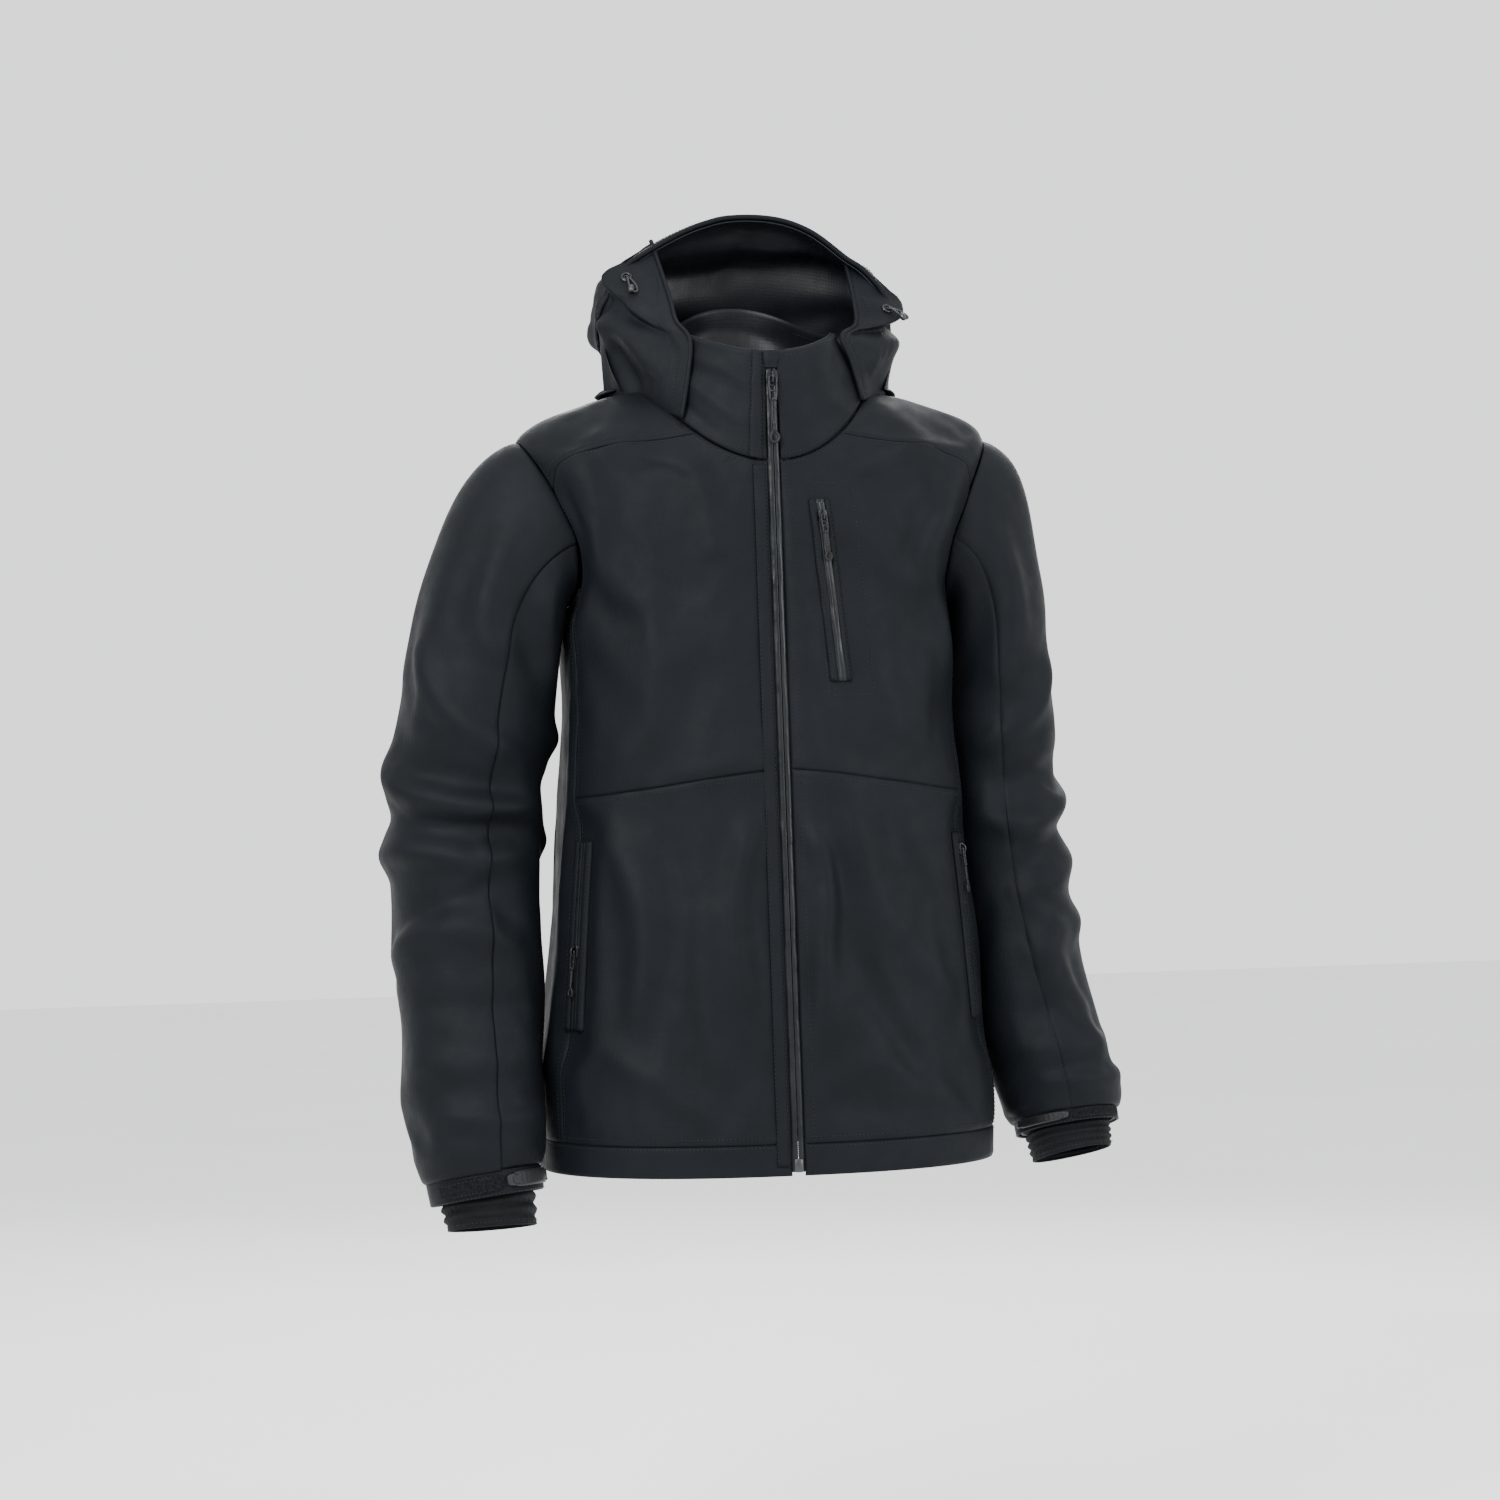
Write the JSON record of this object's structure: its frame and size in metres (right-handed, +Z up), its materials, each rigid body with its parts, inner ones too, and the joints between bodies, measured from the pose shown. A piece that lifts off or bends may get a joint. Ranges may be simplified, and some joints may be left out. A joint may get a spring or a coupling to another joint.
{
  "type": "ski jacket",
  "caption": "Insulated hooded ski jacket with full front zip, stand collar, hand and chest pockets, powder skirt, wrist gaiters and cuff tabs",
  "frame": {"origin": "centre back of the neck seam, where the jacket rests on the neck or hangs", "axes": "+Z up, -Y the front of the jacket, +X the wearer's left"},
  "size_m": [0.6234, 0.2736, 0.865],
  "materials": {
    "insulation": "polyester wadding",
    "laminated_tape": "laminated film",
    "lining_fabric": "smooth taffeta",
    "lock_plastic": "moulded",
    "loop_pile": "hook and loop pile",
    "moulded_rubber": "matt moulded",
    "pull_cord": "braided cord with moulded end",
    "shell_fabric": "matt woven, water repellent",
    "stretch_knit": "stretch knit",
    "webbing": "narrow woven tape",
    "zip_metal": "dark coated",
    "zip_plastic": "nylon coil"
  },
  "bodies": {
    "jacket": {"back_panel": "shell_fabric", "body_insulation": "insulation", "body_lining": "lining_fabric", "chest_pocket_bag": "lining_fabric", "chest_zip_tape": "laminated_tape", "chin_guard": "shell_fabric", "collar_left": "shell_fabric", "collar_lining": "lining_fabric", "collar_right": "shell_fabric", "cuff_left": "shell_fabric", "cuff_patches": "loop_pile", "cuff_right": "shell_fabric", "front_left_lower": "shell_fabric", "front_left_upper": "shell_fabric", "front_right_lower": "shell_fabric", "front_right_upper": "shell_fabric", "hand_pocket_bags": "lining_fabric", "hand_zip_tapes": "laminated_tape", "hanger_loop": "webbing", "hem_band": "shell_fabric", "hood_base": "shell_fabric", "powder_skirt": "lining_fabric", "shoulder_yoke": "shell_fabric", "side_panel_left": "shell_fabric", "side_panel_right": "shell_fabric", "sleeve_left_lining": "lining_fabric", "sleeve_left_top": "shell_fabric", "sleeve_left_under": "shell_fabric", "sleeve_right_lining": "lining_fabric", "sleeve_right_top": "shell_fabric", "sleeve_right_under": "shell_fabric", "storm_flap": "lining_fabric", "upper_insulation": "insulation", "upper_lining": "lining_fabric", "wrist_gaiter_left": "stretch_knit", "wrist_gaiter_right": "stretch_knit", "zip_coils": "zip_plastic", "zip_end_box": "zip_plastic", "zip_facing": "laminated_tape", "zip_tape_left": "laminated_tape", "zip_tape_right": "laminated_tape"},
    "main_zip_slider": {"main_zip_slider": "zip_metal"},
    "main_zip_puller": {"main_zip_puller": "pull_cord"},
    "chest_zip_slider": {"chest_zip_slider": "zip_metal"},
    "chest_zip_puller": {"chest_zip_puller": "pull_cord"},
    "hand_zip_right_slider": {"hand_zip_slider_right": "zip_metal"},
    "hand_zip_right_puller": {"hand_zip_puller_right": "pull_cord"},
    "hand_zip_left_slider": {"hand_zip_slider_left": "zip_metal"},
    "hand_zip_left_puller": {"hand_zip_puller_left": "pull_cord"},
    "cuff_tab_right": {"cuff_tab_right": "moulded_rubber"},
    "cuff_tab_left": {"cuff_tab_left": "moulded_rubber"},
    "hood_button_right": {"hood_lock_button_right": "lock_plastic"},
    "hood_button_left": {"hood_lock_button_left": "lock_plastic"},
    "hood": {"hood_brim": "shell_fabric", "hood_crown": "shell_fabric", "hood_lining": "lining_fabric", "hood_locks": "lock_plastic", "hood_side_left": "shell_fabric", "hood_side_right": "shell_fabric"}
  },
  "joints": [
    {"name": "main_zip_slide", "type": "slide", "parent": "jacket", "child": "main_zip_slider", "axis": [0, -0.0728, -0.9973], "range_m": [0, 0.633]},
    {"name": "main_zip_pull_swing", "type": "hinge", "parent": "main_zip_slider", "child": "main_zip_puller", "pos_m": [0, -0.17774, -0.00352], "axis": [-1, 0, 0], "range_deg": [0, 110]},
    {"name": "chest_zip_slide", "type": "slide", "parent": "jacket", "child": "chest_zip_slider", "axis": [0.0916, -0.0564, -0.9942], "range_m": [0, 0.127]},
    {"name": "chest_zip_pull_swing", "type": "hinge", "parent": "chest_zip_slider", "child": "chest_zip_puller", "pos_m": [0.03979, -0.18483, -0.11957], "axis": [-0.9918, -0.0941, -0.086], "range_deg": [0, 110]},
    {"name": "hand_zip_right_slide", "type": "slide", "parent": "jacket", "child": "hand_zip_right_slider", "axis": [-0.0811, -0.0428, -0.9958], "range_m": [-0.078, 0.052]},
    {"name": "hand_zip_right_pull_swing", "type": "hinge", "parent": "hand_zip_right_slider", "child": "hand_zip_right_puller", "pos_m": [-0.17263, -0.13896, -0.47908], "axis": [-0.4771, 0.8789, 0.0011], "range_deg": [0, 110]},
    {"name": "hand_zip_left_slide", "type": "slide", "parent": "jacket", "child": "hand_zip_left_slider", "axis": [0.0811, -0.0428, -0.9958], "range_m": [0, 0.13]},
    {"name": "hand_zip_left_pull_swing", "type": "hinge", "parent": "hand_zip_left_slider", "child": "hand_zip_left_puller", "pos_m": [0.1663, -0.13562, -0.40141], "axis": [-0.4771, -0.8789, -0.0011], "range_deg": [0, 110]},
    {"name": "cuff_tab_right_lift", "type": "hinge", "parent": "jacket", "child": "cuff_tab_right", "pos_m": [-0.19938, -0.13543, -0.66468], "axis": [-0.0983, 0.1388, 0.9854], "range_deg": [0, 65]},
    {"name": "cuff_tab_left_lift", "type": "hinge", "parent": "jacket", "child": "cuff_tab_left", "pos_m": [0.21737, -0.10401, -0.6438], "axis": [0.1114, -0.2289, -0.967], "range_deg": [0, 65]},
    {"name": "hood_fold", "type": "hinge", "parent": "jacket", "child": "hood", "pos_m": [0, -0.077, 0.045], "axis": [1, 0, 0], "range_deg": [0, 55]},
    {"name": "hood_button_right_press", "type": "slide", "parent": "hood", "child": "hood_button_right", "axis": [0.7226, -0.5986, -0.3456], "range_m": [0, 0.003], "stiffness_N_per_m": 300, "springref_m": -0.001},
    {"name": "hood_button_left_press", "type": "slide", "parent": "hood", "child": "hood_button_left", "axis": [-0.7226, -0.5986, -0.3456], "range_m": [0, 0.003], "stiffness_N_per_m": 300, "springref_m": -0.001}
  ]
}
